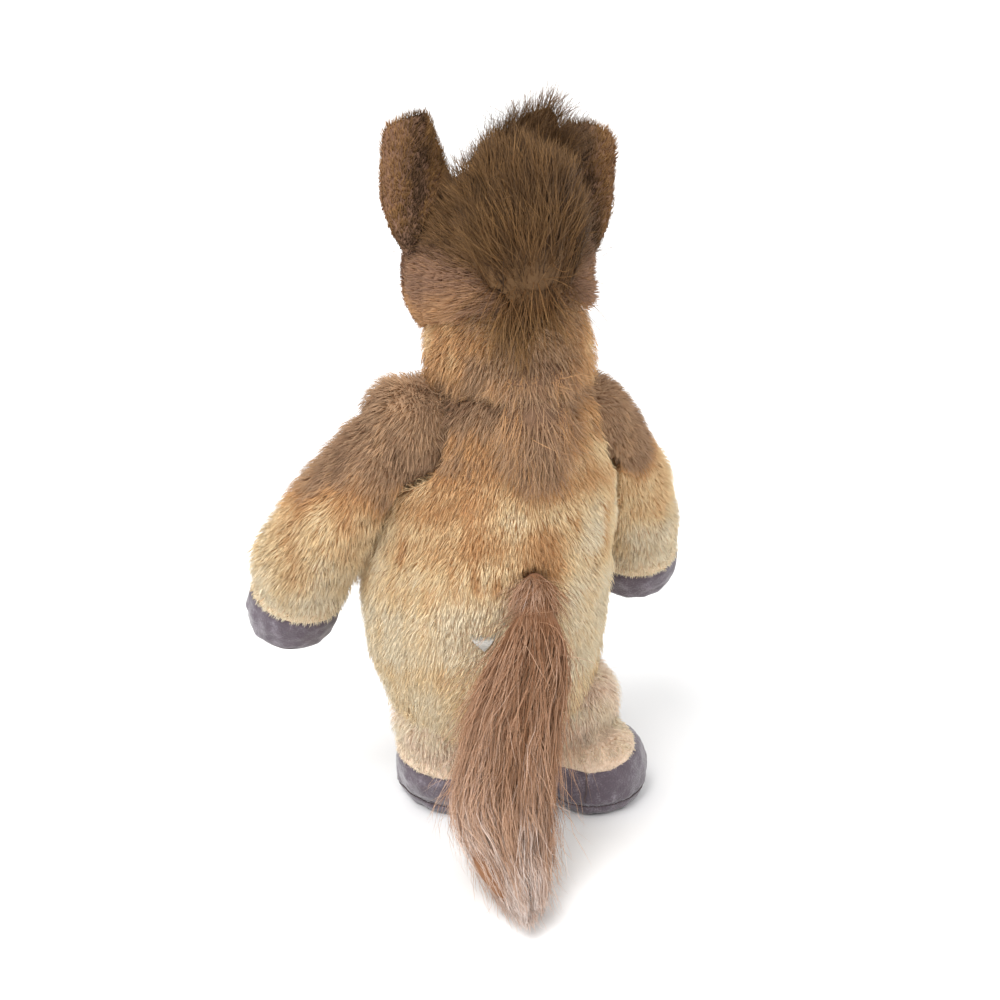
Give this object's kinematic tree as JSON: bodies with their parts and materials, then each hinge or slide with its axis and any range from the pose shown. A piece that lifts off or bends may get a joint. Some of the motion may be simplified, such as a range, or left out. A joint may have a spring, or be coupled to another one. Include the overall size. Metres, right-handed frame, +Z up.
{
  "type": "plush horse",
  "caption": "Stuffed toy horse standing upright on its hind feet, with caramel fur, suede hooves, and a long brown mane and tail.",
  "frame": {"origin": "on the floor, under the middle of the box round the whole toy", "axes": "+Z runs up from the soles to the crown; the horse looks along -Y, its tail is at +Y and its left side at +X"},
  "size_m": [0.2548, 0.2654, 0.3899],
  "materials": {
    "caramel_plush": "long soft pile",
    "brown_plush": "short soft pile",
    "long_hair": "long loose hair",
    "hoof_suede": "matt suede",
    "ear_lining": "short plain pile",
    "stuffing": "loose fibre",
    "eye_plastic": "glossy",
    "washer_plastic": "matt",
    "stitching": "twisted thread",
    "label_ribbon": "satin ribbon, bare"
  },
  "bodies": {
    "torso": {"torso_cover": "caramel_plush", "torso_filling": "stuffing", "back_mane": "long_hair", "care_label": "label_ribbon"},
    "neck": {"neck_cover": "caramel_plush", "neck_filling": "stuffing", "neck_mane": "long_hair"},
    "head": {"head_cover": "brown_plush", "muzzle_cover": "brown_plush", "head_filling": "stuffing", "head_mane": "long_hair", "forelock": "long_hair", "mouth_stitch": "stitching", "left_ear_outer": "brown_plush", "left_ear_lining": "ear_lining", "left_eye": "eye_plastic", "left_eye_washer": "washer_plastic", "left_nostril": "stitching", "right_ear_outer": "brown_plush", "right_ear_lining": "ear_lining", "right_eye": "eye_plastic", "right_eye_washer": "washer_plastic", "right_nostril": "stitching"},
    "dock": {"tail_dock": "brown_plush"},
    "tail": {"tail_hair": "long_hair"},
    "left_arm": {"left_arm_cover": "caramel_plush", "left_arm_hoof": "hoof_suede", "left_arm_pad": "hoof_suede", "left_arm_filling": "stuffing"},
    "left_leg": {"left_leg_cover": "caramel_plush", "left_leg_hoof": "hoof_suede", "left_leg_sole": "hoof_suede", "left_leg_filling": "stuffing"},
    "right_arm": {"right_arm_cover": "caramel_plush", "right_arm_hoof": "hoof_suede", "right_arm_pad": "hoof_suede", "right_arm_filling": "stuffing"},
    "right_leg": {"right_leg_cover": "caramel_plush", "right_leg_hoof": "hoof_suede", "right_leg_sole": "hoof_suede", "right_leg_filling": "stuffing"}
  },
  "joints": [
    {"name": "neck_turn", "type": "hinge", "parent": "torso", "child": "neck", "pos_m": [-0.00606, -0.01933, 0.262], "axis": [0, 0, 1], "range_deg": [-25, 25], "stiffness_Nm_per_rad": 0.6},
    {"name": "head_nod", "type": "hinge", "parent": "neck", "child": "head", "pos_m": [-0.00606, -0.01933, 0.262], "axis": [1, 0, 0], "range_deg": [-12, 15], "stiffness_Nm_per_rad": 2},
    {"name": "left_shoulder", "type": "hinge", "parent": "torso", "child": "left_arm", "pos_m": [0.04494, -0.02133, 0.219], "axis": [-0.6675, -0.7446, 0], "range_deg": [0, 60], "stiffness_Nm_per_rad": 0.3},
    {"name": "right_shoulder", "type": "hinge", "parent": "torso", "child": "right_arm", "pos_m": [-0.05106, -0.02133, 0.219], "axis": [-0.6675, 0.7446, 0], "range_deg": [0, 60], "stiffness_Nm_per_rad": 0.3},
    {"name": "left_hip", "type": "hinge", "parent": "torso", "child": "left_leg", "pos_m": [0.02794, -0.02533, 0.054], "axis": [-1, 0, 0], "range_deg": [-12, 20], "stiffness_Nm_per_rad": 3},
    {"name": "right_hip", "type": "hinge", "parent": "torso", "child": "right_leg", "pos_m": [-0.03806, -0.02033, 0.054], "axis": [-1, 0, 0], "range_deg": [-12, 20], "stiffness_Nm_per_rad": 3},
    {"name": "tail_swing", "type": "hinge", "parent": "torso", "child": "dock", "pos_m": [-0.00206, 0.03267, 0.147], "axis": [0, 1, 0], "range_deg": [-30, 30], "stiffness_Nm_per_rad": 0.3},
    {"name": "tail_lift", "type": "hinge", "parent": "dock", "child": "tail", "pos_m": [-0.00206, 0.03267, 0.147], "axis": [1, 0, 0], "range_deg": [0, 70]}
  ]
}
